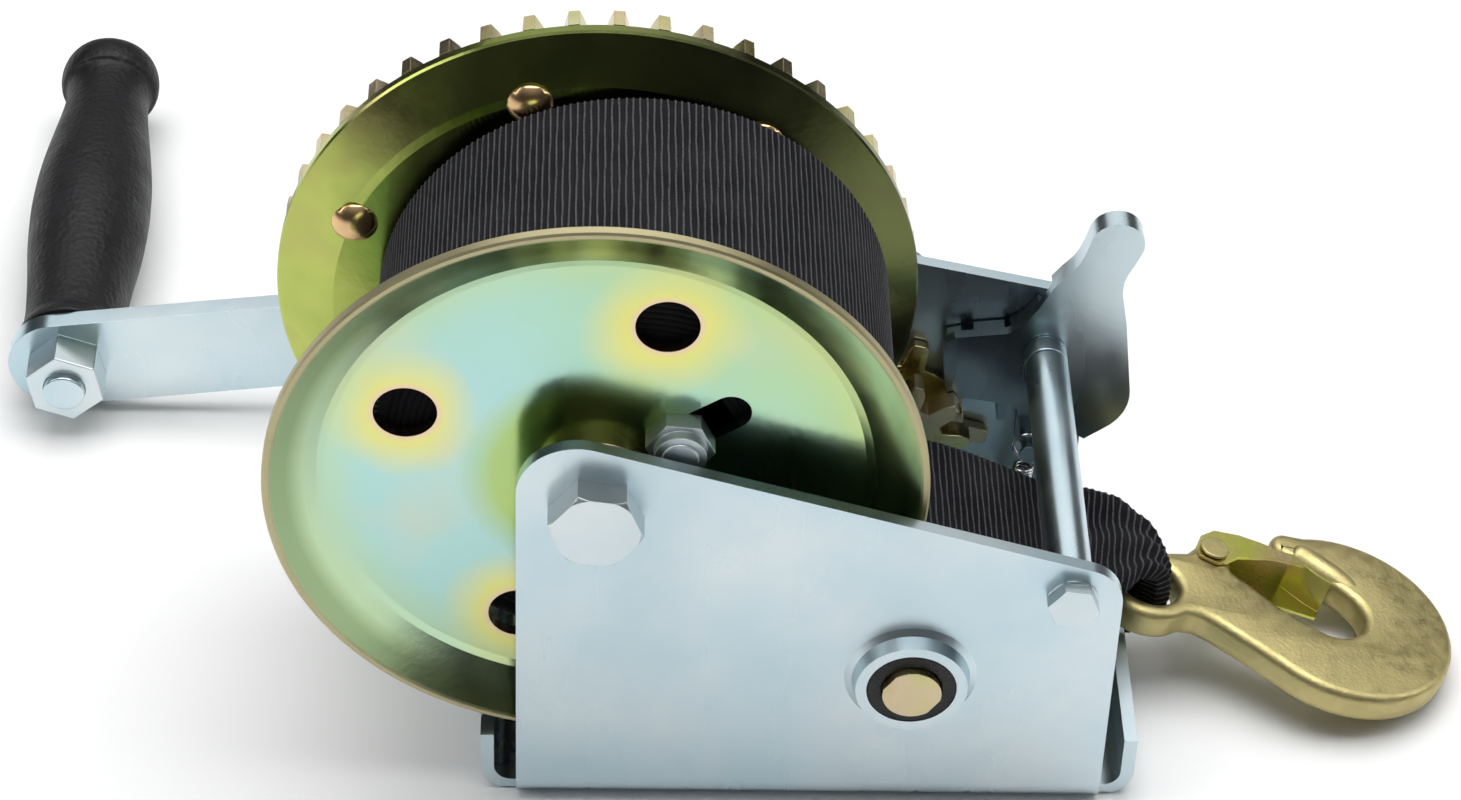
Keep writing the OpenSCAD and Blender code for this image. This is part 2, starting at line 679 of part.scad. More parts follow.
module hook_outline() {
    difference() {
        union() {
            circle(eye_r);
            translate([bowl_dist, 0]) circle(bowl_r);
            polygon([[4, -10.5], [9, -8], [13, -8], [31, -20.6], [40, -20], [30, 3], [20, 11],
                     [9, 11]]);
            translate([latch_px, latch_py - 1]) circle(5);
        }
        circle(eye_hole_r);
        translate([bowl_dist - 3, 1.5]) circle(8.2);
        polygon([[44, -6.6], [31, 0.5], [20, 9.5], [19.5, 20], [24, 34], [32, 27], [33.5, 21.5],
                 [43, 12.5], [50, 8]]);
    }
    translate([36.5, 21.8]) circle(4);
}

module hook() color(gold) hook_place() difference() {
    linear_extrude(hook_t) hook_outline();
    translate([latch_px, latch_py, -1]) cylinder(r = 2.01, h = hook_t + 2);
    // Notch that holds the latch's spring
    translate([latch_px, latch_py, spring_z0 - 0.3]) {
        cylinder(r = 3.8, h = spring_h + 0.6);
        translate([-3.8, 0, 0]) cube([7.6, 8, spring_h + 0.6]);
    }
}

module latch_rivet() color(gold) hook_place() translate([latch_px, latch_py, -latch_gap - 2]) {
    cylinder(r = 2, h = hook_t + 2 * latch_gap + 4);
    cylinder(r = 3.4, h = 0.9);
    translate([0, 0, hook_t + 2 * latch_gap + 3.1]) cylinder(r = 3.4, h = 0.9);
}

// Spring latch: one stamped channel over the hook's two faces, joined along its mouth edge
latch_gap = 0.3;
latch_t = 0.8;
spring_z0 = 2.6;
spring_h = 2.8;

// Outer face of the channel's web, from the rivet to the tip, and its inner face back again
latch_web = [[17.4, 20], [23.5, 20], [29, 18.8], [33.5, 17.2], [36.8, 16.9], [42.4, 11.9],
             [45.6, 9.8]];
latch_web_back = [[45.2, 9.1], [41.9, 11.2], [36.5, 16], [33.2, 16.4], [28.8, 18], [23.4, 19.2],
                  [17.6, 19.1]];
latch_ear = [[17.2, 8.8], [13, 10.6], [12.4, 13.6], [13.9, 17.4]];

module hook_latch() color("goldenrod") hook_place() difference() {
    translate([0, 0, -latch_gap - latch_t]) {
        linear_extrude(hook_t + 2 * (latch_gap + latch_t))
            polygon(concat(latch_web, latch_web_back));
        linear_extrude(latch_t)
            polygon(concat(latch_ear, latch_web, [[44.4, 6.8], [38, 8], [28, 9.6], [20, 9.4]]));
        translate([0, 0, hook_t + 2 * latch_gap + latch_t]) linear_extrude(latch_t)
            polygon(concat(latch_ear, [for (k = [0 : 4]) latch_web[k]],
                           [[39.4, 13.6], [31.6, 14.2], [22.6, 12.2], [19.6, 9.8]]));
    }
    translate([latch_px, latch_py, -3]) cylinder(r = 2.06, h = hook_t + 6);
}

module latch_spring() color(zinc) hook_place() translate([latch_px, latch_py, spring_z0])
    difference() {
        cylinder(r = 3.4, h = spring_h);
        translate([0, 0, -1]) cylinder(r = 2.15, h = 6);
    }

frame();
pinion_bush();
rear_bush();
axle_bolt();
axle_nut();
axle_spacers();
tie_bolt();
tie_nut();
tie_tube();
spring_post();
front_flange();
rear_flange();
drum_hub();
main_gear();
gear_rivets();
anchor_bolt();
anchor_nut();
strap_roll();
strap_lap();
pinion_shaft();
pinion();
ratchet_wheel();
shaft_collar();
crank_arm();
crank_nut();
grip_bolt();
grip_nut();
grip();
grip_cap();
pawl();
pawl_sleeve();
pawl_spring();
strap_tail();
hook();
latch_rivet();
hook_latch();
latch_spring();
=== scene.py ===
import json
import math

import bmesh
import bpy
from mathutils import Matrix, Vector


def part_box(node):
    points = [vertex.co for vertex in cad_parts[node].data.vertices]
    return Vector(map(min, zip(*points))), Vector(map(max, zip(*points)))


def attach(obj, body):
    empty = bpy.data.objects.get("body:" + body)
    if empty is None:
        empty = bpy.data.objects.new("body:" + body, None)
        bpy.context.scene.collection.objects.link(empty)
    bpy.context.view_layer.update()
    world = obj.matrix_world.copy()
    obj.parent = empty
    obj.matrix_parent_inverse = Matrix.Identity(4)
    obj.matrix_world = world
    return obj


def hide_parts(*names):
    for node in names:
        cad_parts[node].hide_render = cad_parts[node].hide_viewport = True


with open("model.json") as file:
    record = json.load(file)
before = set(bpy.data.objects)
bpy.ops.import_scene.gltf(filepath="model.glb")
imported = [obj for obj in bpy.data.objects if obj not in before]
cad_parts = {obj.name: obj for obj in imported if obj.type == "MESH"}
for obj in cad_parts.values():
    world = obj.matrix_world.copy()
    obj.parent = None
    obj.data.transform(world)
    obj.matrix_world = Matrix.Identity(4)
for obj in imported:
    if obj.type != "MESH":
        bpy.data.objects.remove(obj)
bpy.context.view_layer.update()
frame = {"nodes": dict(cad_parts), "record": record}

scene = bpy.context.scene
nodes = frame["nodes"]

# ---------------------------------------------------------------- camera and light

# The camera was fitted to the outlines of the object in the photo
CAMERA_PLACE = (-0.05132, -0.71412, 0.70147)
CAMERA_TURN = (2.586, 40.975, 2.424)     # yaw, pitch and roll in degrees
LENS, SENSOR = 105.73, 36                # in millimetres
LIT_PLACE = (0, 0.04, 0.08)              # what every lamp points at


def aim(yaw, pitch, roll):
    """Camera axes for a view along +Y that is turned by yaw, tipped down by pitch, and rolled."""
    y, p, r = (math.radians(v) for v in (yaw, pitch, roll))
    forward = Vector((math.sin(y) * math.cos(p), math.cos(y) * math.cos(p), -math.sin(p)))
    right = Vector((math.cos(y), -math.sin(y), 0))
    up = right.cross(forward)
    right, up = right * math.cos(r) + up * math.sin(r), up * math.cos(r) - right * math.sin(r)
    return Matrix((right, up, -forward)).transposed()


def area_light(name, place, size, power):
    """A soft lamp of that size in metres and power in watts, turned to the object."""
    data = bpy.data.lights.new(name, "AREA")
    data.shape = "RECTANGLE"
    data.size, data.size_y = size
    data.energy = power
    lamp = bpy.data.objects.new(name, data)
    scene.collection.objects.link(lamp)
    lamp.location = place
    lamp.rotation_mode = "QUATERNION"
    lamp.rotation_quaternion = (Vector(LIT_PLACE) - Vector(place)).to_track_quat("-Z", "Y")


camera_data = bpy.data.cameras.new("camera")
camera_data.lens, camera_data.sensor_width = LENS, SENSOR
camera_data.clip_start, camera_data.clip_end = 0.05, 20
camera = bpy.data.objects.new("camera", camera_data)
scene.collection.objects.link(camera)
camera.matrix_world = Matrix.Translation(CAMERA_PLACE) @ aim(*CAMERA_TURN).to_4x4()
scene.camera = camera

area_light("top_box", (0.0, 0.2, 1.4), (1.5, 1.1), 21)
area_light("left_box", (-1.3, -0.2, 0.9), (0.7, 0.8), 5)
area_light("right_box", (1.3, 0.1, 0.8), (0.5, 0.8), 4)
area_light("back_box", (0.05, 1.3, 1.15), (1.8, 0.6), 3.4)

# The sky is dim at the horizon and brighter overhead
world = bpy.data.worlds.new("studio")
world.use_nodes = True
sky = world.node_tree.nodes
heading = sky.new("ShaderNodeSeparateXYZ")
world.node_tree.links.new(sky.new("ShaderNodeTexCoord").outputs["Generated"], heading.inputs[0])
rise = sky.new("ShaderNodeMapRange")
rise.interpolation_type = "SMOOTHSTEP"
world.node_tree.links.new(heading.outputs["Z"], rise.inputs["Value"])
for key, value in (("From Min", 0.45), ("From Max", 0.95), ("To Min", 0.05), ("To Max", 0.45)):
    rise.inputs[key].default_value = value
world.node_tree.links.new(rise.outputs["Result"], sky["Background"].inputs["Strength"])
sky["Background"].inputs["Color"].default_value = (0.93, 0.95, 0.97, 1)
scene.world = world
scene.view_settings.view_transform = "Standard"

# ---------------------------------------------------------------- materials

MIX_A, MIX_B, MIX_RESULT = 6, 7, 2       # the colour sockets of a Mix node


class Look:
    """A Principled material, and short names for the nodes that feed it."""

    def __init__(self, name, color, metallic=0.0, roughness=0.4, **sockets):
        self.material = bpy.data.materials.new(name)
        self.material.use_nodes = True
        self.tree = self.material.node_tree
        self.shader = self.tree.nodes["Principled BSDF"]
        sockets.update(Base_Color=(*color, 1), Metallic=metallic, Roughness=roughness)
        for key, value in sockets.items():
            self.shader.inputs[key.replace("_", " ")].default_value = value
        self.where = self.tree.nodes.new("ShaderNodeTexCoord").outputs["Object"]

    def feed(self, socket, value):
        """Links an output to a node's socket, or sets the socket to a plain value."""
        if isinstance(value, bpy.types.NodeSocket):
            self.tree.links.new(value, socket)
        else:
            socket.default_value = value

    def link(self, output, socket):
        """Links an output to one of the shader's own sockets."""
        self.tree.links.new(output, self.shader.inputs[socket])

    def node(self, kind, **inputs):
        """A new node, with its inputs by name."""
        n = self.tree.nodes.new(kind)
        for key, value in inputs.items():
            self.feed(n.inputs[key.replace("_", " ")], value)
        return n

    def axes(self):
        """X, Y and Z over the object, in metres."""
        parts = self.node("ShaderNodeSeparateXYZ", Vector=self.where).outputs
        return parts["X"], parts["Y"], parts["Z"]

    def noise(self, scale, detail=3.0, rough=0.5, stretch=(1, 1, 1), shift=(0, 0, 0)):
        """Noise over the object, with its axes scaled by stretch and moved by shift."""
        place = self.node("ShaderNodeMapping", Vector=self.where, Scale=stretch, Location=shift)
        return self.node("ShaderNodeTexNoise", Vector=place.outputs["Vector"], Scale=scale,
                         Detail=detail, Roughness=rough).outputs["Fac"]

    def ramp(self, fac, stops):
        """A colour from stops of (place from 0 to 1, colour)."""
        n = self.tree.nodes.new("ShaderNodeValToRGB")
        self.feed(n.inputs["Fac"], fac)
        items = n.color_ramp.elements
        while len(items) < len(stops):
            items.new(0.5)
        for item, (place, color) in zip(items, stops):
            item.position = place
            item.color = (*color, 1)
        return n.outputs["Color"]

    def levels(self, fac, low, high, out_low, out_high):
        """fac with its stretch from low to high spread from out_low to out_high."""
        return self.node("ShaderNodeMapRange", Value=fac, From_Min=low, From_Max=high,
                         To_Min=out_low, To_Max=out_high).outputs["Result"]

    def calc(self, operation, a, b):
        """Two values, or outputs, put together by a Math node."""
        n = self.tree.nodes.new("ShaderNodeMath")
        n.operation = operation
        self.feed(n.inputs[0], a)
        self.feed(n.inputs[1], b)
        return n.outputs["Value"]

    def mix(self, fac, a, b):
        """Colour a with a share fac of colour b over it."""
        n = self.tree.nodes.new("ShaderNodeMix")
        n.data_type = "RGBA"
        self.feed(n.inputs["Factor"], fac)
        for key, color in ((MIX_A, a), (MIX_B, b)):
            self.feed(n.inputs[key], (*color, 1) if isinstance(color, tuple) else color)
        return n.outputs[MIX_RESULT]

    def vary_roughness(self, noise, low, high):
        """Lets a noise move the roughness between low and high."""
        self.link(self.levels(noise, 0.3, 0.7, low, high), "Roughness")

    def bump(self, height, strength, distance):
        """Adds a bump to those already there."""
        n = self.node("ShaderNodeBump", Strength=strength, Distance=distance, Height=height)
        normal = self.shader.inputs["Normal"]
        if normal.links:
            self.feed(n.inputs["Normal"], normal.links[0].from_socket)
        self.link(n.outputs["Normal"], "Normal")


def make_blue_zinc(name, base, tint, rough, painted_shade=None):
    """Blue-white zinc. The last argument says from the three coordinates how much painted shade, a
    darker colour standing in for dark reflections, lies on it.
    """
    look = Look(name, base, metallic=1.0, roughness=rough)
    cloud = look.noise(26, 4, 0.55)
    streak = look.noise(40, 3, 0.6, stretch=(1.0, 1.0, 0.25))
    color = look.mix(look.levels(cloud, 0.35, 0.68, 0, 1), base, tint)
    # Painted shade: a darker blue-grey mixed in where the surface would reflect dark surroundings
    if painted_shade:
        color = look.mix(painted_shade(look, *look.axes()), color, (0.13, 0.17, 0.20))
    look.link(color, "Base Color")
    look.vary_roughness(streak, rough - 0.06, rough + 0.09)
    look.bump(look.noise(900, 2), 0.03, 0.0003)
    look.bump(look.noise(60, 2), 0.03, 0.002)
    return look.material


def shade_inside_gear_plate(look, x, y, z):
    """Painted shade on the inner face of the gear-side plate, standing in for its dark reflections.
    """
    return look.calc("MULTIPLY", look.levels(y, 0.038, 0.0405, 0.0, 0.7),
                     look.levels(y, 0.0418, 0.0424, 1.0, 0.0))


def shade_low_on_pawl(look, x, y, z):
    """Painted shade on the pawl's end at the wheel, and below its pivot, standing in for its dark
    reflections.
    """
    return look.calc("MAXIMUM", look.levels(x, 0.046, 0.064, 0.75, 0.0),
                     look.levels(z, 0.048, 0.066, 0.65, 0.0))


def make_flange_zinc(name, center, holes):
    """Iridescent yellow zinc on a flange turned about center: pale aqua within, then green, then
    yellow towards the rim and round the holes."""
    look = Look(name, (0.6, 0.6, 0.36), metallic=1.0, roughness=0.2)
    x, _, z = look.axes()
    flat = look.node("ShaderNodeCombineXYZ", X=x, Z=z).outputs[0]

    def distance(place_x, place_z):
        n = look.node("ShaderNodeVectorMath")
        n.operation = "DISTANCE"
        look.feed(n.inputs[0], flat)
        look.feed(n.inputs[1], (place_x, 0, place_z))
        return n.outputs["Value"]

    # The film's colour changes outwards from a place beside the axis, with clouds in it
    cloud = look.levels(look.noise(16, 3, 0.6), 0.3, 0.7, -0.16, 0.16)
    core = look.levels(distance(center[0] - 0.026, center[1] - 0.002), 0.024, 0.115, 0.0, 1.0)
    color = look.ramp(look.calc("ADD", core, cloud),
                      [(0.0, (0.44, 0.69, 0.66)), (0.32, (0.43, 0.69, 0.54)),
                       (0.6, (0.46, 0.66, 0.36)), (0.85, (0.62, 0.67, 0.25)),
                       (1.0, (0.64, 0.58, 0.18))])
    blush = look.levels(look.noise(30, 2, 0.5, shift=(0.3, 0.1, 0.2)), 0.55, 0.75, 0.0, 0.4)
    color = look.mix(blush, color, (0.78, 0.62, 0.40))

    # Round the holes: a wavy yellow halo, and copper at the edge itself
    near = distance(*holes[0])
    for place in holes[1:]:
        near = look.calc("MINIMUM", near, distance(*place))
    halo = look.calc("ADD", near, look.levels(look.noise(40, 2), 0.3, 0.7, -0.002, 0.002))
    color = look.mix(look.levels(halo, 0.0085, 0.018, 0.85, 0.0), color, (0.80, 0.74, 0.20))
    color = look.mix(look.levels(near, 0.0068, 0.0084, 0.9, 0.0), color, (0.80, 0.58, 0.44))

    # Rings round the axis: two radii, the share of the tint at each, and the tint
    out = distance(*center)
    for *span, tint in ((0.050, 0.064, 0.0, 0.45, (0.64, 0.67, 0.20)),
                        (0.022, 0.030, 0.8, 0.0, (0.42, 0.56, 0.10)),
                        # Painted shade: a dark green round the rim, standing in for the rim's dark
                        # reflections
                        (0.0625, 0.066, 0.0, 0.75, (0.24, 0.34, 0.17))):
        color = look.mix(look.levels(out, *span), color, tint)

    # The rim is painted darker at the bottom, painted shade standing in for its dark reflections
    # there, and its cut edge is duller
    low = look.levels(z, center[1] - 0.072, center[1] - 0.05, 0.8, 0.0)
    # Painted shade: dark olive on the lower rim
    color = look.mix(look.calc("MULTIPLY", low, look.levels(out, 0.05, 0.062, 0.3, 1.0)), color,
                     (0.20, 0.19, 0.05))
    edge = look.levels(out, 0.0688, 0.0698, 0.0, 0.85)
    look.link(look.mix(edge, color, (0.52, 0.44, 0.27)), "Base Color")
    look.link(look.calc("ADD", look.levels(look.noise(70, 3), 0.3, 0.7, 0.15, 0.24),
                        look.calc("MULTIPLY", edge, 0.3)), "Roughness")
    look.bump(look.noise(700, 2), 0.03, 0.0004)
    look.bump(look.noise(25, 2), 0.05, 0.004)
    return look.material


def make_yellow_zinc(name, greens, rough=0.24, shade_span=None):
    """Yellow zinc. The last argument gives the two places in X between which the colour grows
    darker, a painted shade standing in for dark reflections on that side.
    """
    look = Look(name, greens[1], metallic=1.0, roughness=rough)
    place = look.levels(look.noise(28, 3, 0.6), 0.32, 0.68, 0.0, 1.0)
    color = look.ramp(place, [(k / (len(greens) - 1), green) for k, green in enumerate(greens)])
    if shade_span:
        # Painted shade: darker olive towards one side in X, standing in for dark reflections
        color = look.mix(look.levels(look.axes()[0], *shade_span, 0.0, 0.85), color,
                         (0.07, 0.08, 0.04))
    look.link(color, "Base Color")
    look.vary_roughness(look.noise(70, 3), rough - 0.06, rough + 0.08)
    look.bump(look.noise(700, 2), 0.05, 0.0004)
    return look.material


def make_hook_zinc(name, base, rough):
    """Yellow zinc on a forging, with the grain of its skin."""
    look = Look(name, base, metallic=1.0, roughness=rough)
    light = tuple(min(1, c * 1.1) for c in base)
    shade = tuple(c * 0.9 for c in base)
    look.link(look.ramp(look.noise(45, 4, 0.6), [(0.3, shade), (0.5, base), (0.72, light)]),
              "Base Color")
    look.vary_roughness(look.noise(300, 3), rough - 0.08, rough + 0.1)
    look.bump(look.noise(1100, 3, 0.6), 0.2, 0.0005)
    return look.material


def make_strap(name):
    """Black webbing: pale thin ridges, from the pieces' own rib heights, on a near-black weave. The
    ridges' pale colour is partly lighter yarn and partly painted highlight where the ribs catch the
    light.
    """
    look = Look(name, (0.008, 0.008, 0.009), roughness=0.8, Specular_IOR_Level=0.15)
    rib = look.node("ShaderNodeAttribute")
    rib.attribute_name = "rib"
    yarn = look.noise(2200, 2)
    # Painted highlight, with lighter yarn: the ridge tops get a pale grey
    ridge = look.calc("MULTIPLY", look.levels(rib.outputs["Fac"], 0.45, 1.0, 0.0, 1.0),
                      look.levels(yarn, 0.35, 0.6, 0.45, 1.0))
    ground = look.mix(look.levels(look.noise(90, 3), 0.35, 0.7, 0, 1), (0.004, 0.004, 0.006),
                      (0.010, 0.010, 0.012))
    look.link(look.mix(ridge, ground, (0.10, 0.10, 0.105)), "Base Color")
    look.vary_roughness(look.noise(60, 3), 0.72, 0.88)
    look.bump(yarn, 0.5, 0.0002)
    return look.material


def make_plastic(name, base, rough, grain):
    """Moulded plastic with a fine pebbled grain."""
    look = Look(name, base, roughness=rough, Specular_IOR_Level=0.32)
    cell = look.node("ShaderNodeTexVoronoi", Vector=look.where, Scale=grain).outputs["Distance"]
    light = tuple(c * 2.2 for c in base)
    look.link(look.mix(look.levels(look.noise(80, 3), 0.35, 0.7, 0, 1), base, light), "Base Color")
    look.vary_roughness(look.noise(120, 2), rough - 0.06, rough + 0.1)
    look.bump(cell, 0.35, 0.0005)
    return look.material


def make_plate(name, base, rough):
    """Plated or bare metal with faint darker clouds."""
    look = Look(name, base, metallic=1.0, roughness=rough)
    look.link(look.mix(look.levels(look.noise(160, 3), 0.35, 0.7, 0, 1), base,
                       tuple(c * 0.75 for c in base)), "Base Color")
    look.bump(look.noise(600, 2), 0.05, 0.0004)
    return look.material


# The drum's axis and the four holes of its front flange, in metres and degrees
DRUM_X, DRUM_Z = -0.0485, 0.088
HOLE_CIRCLE = 0.044
HOLE_ANGLES = (71, 157, 248, 336)
flange_holes = [(DRUM_X + HOLE_CIRCLE * math.cos(math.radians(a)),
                 DRUM_Z + HOLE_CIRCLE * math.sin(math.radians(a))) for a in HOLE_ANGLES]
SHEET_ZINC = ((0.51, 0.65, 0.71), (0.64, 0.72, 0.75), 0.28)
LOOKS = {name: make(name, *values) for name, make, *values in (
    ("blue_zinc", make_blue_zinc, *SHEET_ZINC),
    # frame_zinc is painted with shade on the gear-side plate's inner face
    ("frame_zinc", make_blue_zinc, *SHEET_ZINC, shade_inside_gear_plate),
    # pawl_zinc is painted with shade on the pawl's end at the wheel and below its pivot
    ("pawl_zinc", make_blue_zinc, (0.51, 0.62, 0.66), (0.60, 0.68, 0.71), 0.28, shade_low_on_pawl),
    ("bolt_zinc", make_blue_zinc, (0.60, 0.69, 0.72), (0.70, 0.75, 0.76), 0.33),
    ("front_zinc", make_flange_zinc, (DRUM_X, DRUM_Z), flange_holes),
    # The rear flange's zinc is painted darker towards +X: painted shade standing in for its dark
    # reflections
    ("rear_zinc", make_yellow_zinc,
     [(0.34, 0.42, 0.10), (0.46, 0.52, 0.13), (0.40, 0.37, 0.14)], 0.2, (-0.11, -0.03)),
    ("yellow_zinc", make_yellow_zinc,
     [(0.60, 0.60, 0.36), (0.56, 0.52, 0.24), (0.62, 0.50, 0.34), (0.50, 0.46, 0.16)]),
    ("hook_zinc", make_hook_zinc, (0.50, 0.43, 0.20), 0.46),
    ("latch_zinc", make_yellow_zinc,
     [(0.64, 0.60, 0.14), (0.60, 0.62, 0.12), (0.66, 0.50, 0.26)], 0.22),
    ("strap", make_strap),
    ("grip_plastic", make_plastic, (0.004, 0.004, 0.0045), 0.5, 700),
    ("nylon", make_plastic, (0.010, 0.010, 0.011), 0.45, 1500),
    ("copper_plate", make_plate, (0.78, 0.52, 0.27), 0.24),
    ("spring_wire", make_plate, (0.62, 0.64, 0.66), 0.22))}

# Nodes whose look isn't simply their slot's
OWN_LOOKS = {"front_flange": "front_zinc", "rear_flange": "rear_zinc", "frame": "frame_zinc",
             "pawl": "pawl_zinc"}
OWN_LOOKS.update({name: "bolt_zinc" for name in nodes
                  if name.endswith(("_bolt", "_nut")) and name != "grip_bolt"})

# How far the CAD nodes' edges are rounded, in metres
USUAL_EDGE = 0.0005
WELD_GAP = 2e-6
FLAT_ANGLE, SHARP_ANGLE = math.radians(0.4), math.radians(30)
EDGE = {"frame": 0.0007, "crank_arm": 0.0007, "pawl": 0.0012, "axle_bolt": 0.0003,
        "main_gear": 0.0003, "hook_latch": 0.0003, "pinion": 0.0003, "ratchet_wheel": 0.0003,
        "pawl_spring": 0.0, "latch_spring": 0.0, "front_flange": None, "rear_flange": None}


def round_edges(obj, width):
    """Joins a CAD mesh's split faces and rounds its sharp edges, all in modifiers. A width of
    None leaves the mesh and its normals as they are."""
    if width is None:
        return
    for p in obj.data.polygons:
        p.use_smooth = True
    weld = obj.modifiers.new("weld", "WELD")
    weld.merge_threshold = WELD_GAP
    flat = obj.modifiers.new("flat", "DECIMATE")
    flat.decimate_type = "DISSOLVE"
    flat.angle_limit = FLAT_ANGLE
    if width:
        bevel = obj.modifiers.new("bevel", "BEVEL")
        bevel.width = width
        bevel.segments = 2
        bevel.limit_method = "ANGLE"
        bevel.angle_limit = SHARP_ANGLE
        bevel.harden_normals = True
    even = obj.modifiers.new("even", "WEIGHTED_NORMAL")
    even.mode = "FACE_AREA"
    even.weight = 50
    even.keep_sharp = True


slots = {s["node"]: s["material_slot"] for s in frame["record"]["subparts"]}
for name, obj in nodes.items():
    obj.data.materials.clear()
    obj.data.materials.append(LOOKS[OWN_LOOKS.get(name, slots[name])])
    round_edges(obj, EDGE.get(name, USUAL_EDGE))

# ---------------------------------------------------------------- piece helpers

MM = 0.001           # every piece below is drawn in millimetres


def to_mesh(name, verts, faces):
    """A mesh from points in millimetres."""
    mesh = bpy.data.meshes.new(name)
    mesh.from_pydata([tuple(c * MM for c in v) for v in verts], [], faces)
    return mesh


def finish_piece(mesh, name, body, stands_for, slot_name):
    """Makes a mesh a smooth piece that rides on a body and stands for CAD nodes."""
    mesh.update()
    for p in mesh.polygons:
        p.use_smooth = True
    mesh.materials.clear()
    mesh.materials.append(LOOKS[slot_name])
    obj = bpy.data.objects.new(name, mesh)
    scene.collection.objects.link(obj)
    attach(obj, body)
    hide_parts(*stands_for)
    return obj


def smooth_line(points, steps):
    """A smooth open line through points, with that many steps to each stretch."""
    out = []
    n = len(points)
    for i in range(n - 1):
        a, b = points[max(i - 1, 0)], points[i]
        c, d = points[i + 1], points[min(i + 2, n - 1)]
        for k in range(steps):
            t = k / steps
            out.append(tuple(
                q + (r - p) * t / 2 + (2 * p - 5 * q + 4 * r - w) * t * t / 2
                + (3 * q - p - 3 * r + w) * t ** 3 / 2
                for p, q, r, w in zip(a, b, c, d)))
    out.append(tuple(points[-1]))
    return out


def even_line(points, gap):
    """The same line with its points the same distance apart."""
    lengths = [0.0]
    for a, b in zip(points, points[1:]):
        lengths.append(lengths[-1] + math.dist(a, b))
    count = max(2, round(lengths[-1] / gap))
    out, i = [], 0
    for k in range(count + 1):
        want = lengths[-1] * k / count
        while i < len(points) - 2 and lengths[i + 1] < want:
            i += 1
        t = (want - lengths[i]) / max(1e-9, lengths[i + 1] - lengths[i])
        out.append(tuple(p + (q - p) * t for p, q in zip(points[i], points[i + 1])))
    return out


def normal_at(way, i):
    """The direction square to a flat way at its point i."""
    x0, y0 = way[max(i - 1, 0)]
    x1, y1 = way[min(i + 1, len(way) - 1)]
    length = math.hypot(x1 - x0, y1 - y0)
    return -(y1 - y0) / length, (x1 - x0) / length


def grid_faces(rows, cols, wrap_rows=False, wrap_cols=False):
    """Faces between rows of points, with the last row or column joined to the first if asked."""
    faces = []
    for i in range(rows if wrap_rows else rows - 1):
        for j in range(cols if wrap_cols else cols - 1):
            a, b = i * cols + j, i * cols + (j + 1) % cols
            c, d = ((i + 1) % rows) * cols + (j + 1) % cols, ((i + 1) % rows) * cols + j
            faces.append((a, b, c, d))
    return faces


def tube_faces(rows, sides):
    """Faces of a tube of rows of points, closed at both ends."""
    return grid_faces(rows, sides, wrap_cols=True) + [
        tuple(reversed(range(sides))), tuple(range((rows - 1) * sides, rows * sides))]


def lathe(profile, x, z, segments):
    """Points and faces of a closed profile of (radius, y) turned about the line at x, z."""
    verts = [(x + r * math.cos(a), y, z + r * math.sin(a))
             for a in (2 * math.pi * k / segments for k in range(segments)) for r, y in profile]
    return verts, grid_faces(segments, len(profile), wrap_rows=True, wrap_cols=True)


def outline_mesh(name, loops, thickness, rounding):
    """A flat plate in X and Y with rounded edges, from outlines in millimetres, standing on Z 0."""
    data = bpy.data.curves.new(name, "CURVE")
    data.dimensions = "2D"
    data.fill_mode = "BOTH"
    for loop in loops:
        line = data.splines.new("POLY")
        line.points.add(len(loop) - 1)
        for p, (x, y) in zip(line.points, loop):
            p.co = (x * MM, y * MM, 0, 1)
        line.use_cyclic_u = True
    data.extrude = (thickness / 2 - rounding) * MM
    data.bevel_depth = rounding * MM
    data.bevel_resolution = 3
    data.offset = -rounding * MM
    obj = bpy.data.objects.new(name, data)
    scene.collection.objects.link(obj)
    bpy.context.view_layer.update()
    mesh = bpy.data.meshes.new_from_object(
        obj.evaluated_get(bpy.context.evaluated_depsgraph_get()))
    bpy.data.objects.remove(obj)
    mesh.transform(Matrix.Translation((0, 0, thickness / 2 * MM)))
    work = bmesh.new()
    work.from_mesh(mesh)
    bmesh.ops.remove_doubles(work, verts=work.verts, dist=1e-6)
    bmesh.ops.recalc_face_normals(work, faces=work.faces)
    work.to_mesh(mesh)
    work.free()
    return mesh


def arc(cx, cy, r, a0, a1, steps):
    """Points on a circle from a0 to a1 degrees."""
    return [(cx + r * math.cos(math.radians(a0 + (a1 - a0) * k / steps)),
             cy + r * math.sin(math.radians(a0 + (a1 - a0) * k / steps)))
            for k in range(steps + 1)]


# ---------------------------------------------------------------- strap

RIB = 1.5            # distance between the webbing's ridges
RIDGE = 0.3          # height of a ridge
STRAP_T = 1.5        # thickness of the webbing
HALF_WIDTH = 24.75   # half its width
STEP = 0.25          # distance between a strip's rows of points
STRIP_COLS = 33      # points across a strip
STRIP_EDGE = 0.3     # half the thickness left at a strip's edges
FOLDS = 2.5          # waves of folds across a gathered strip
HUB_R = 22.5         # radius of the first turn on the drum
LAYERS = 21          # turns seen in the roll's side
ROLL_OFFSET = 9.5    # from the drum's axis to the roll's
drum_axis = (DRUM_X / MM, DRUM_Z / MM)
roll_lo, roll_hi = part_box("strap_roll")
roll_y0, roll_y1 = roll_lo.y / MM, roll_hi.y / MM
roll_axis = ((roll_lo.x + roll_hi.x) / 2 / MM, (roll_lo.z + roll_hi.z) / 2 / MM)
roll_r = (roll_hi.x - roll_lo.x) / 2 / MM
sweep = roll_r + ROLL_OFFSET + 0.6   # how far from its axis the drum's strap may reach


def strap_piece(name, verts, faces, body, stands_for, heights):
    """A webbing piece. heights are its points' places between the ground, 0, and a ridge, 1."""
    mesh = to_mesh(name, verts, faces)
    if heights:
        mesh.attributes.new("rib", "FLOAT", "POINT").data.foreach_set("value", heights)
    finish_piece(mesh, name, body, stands_for, "strap")


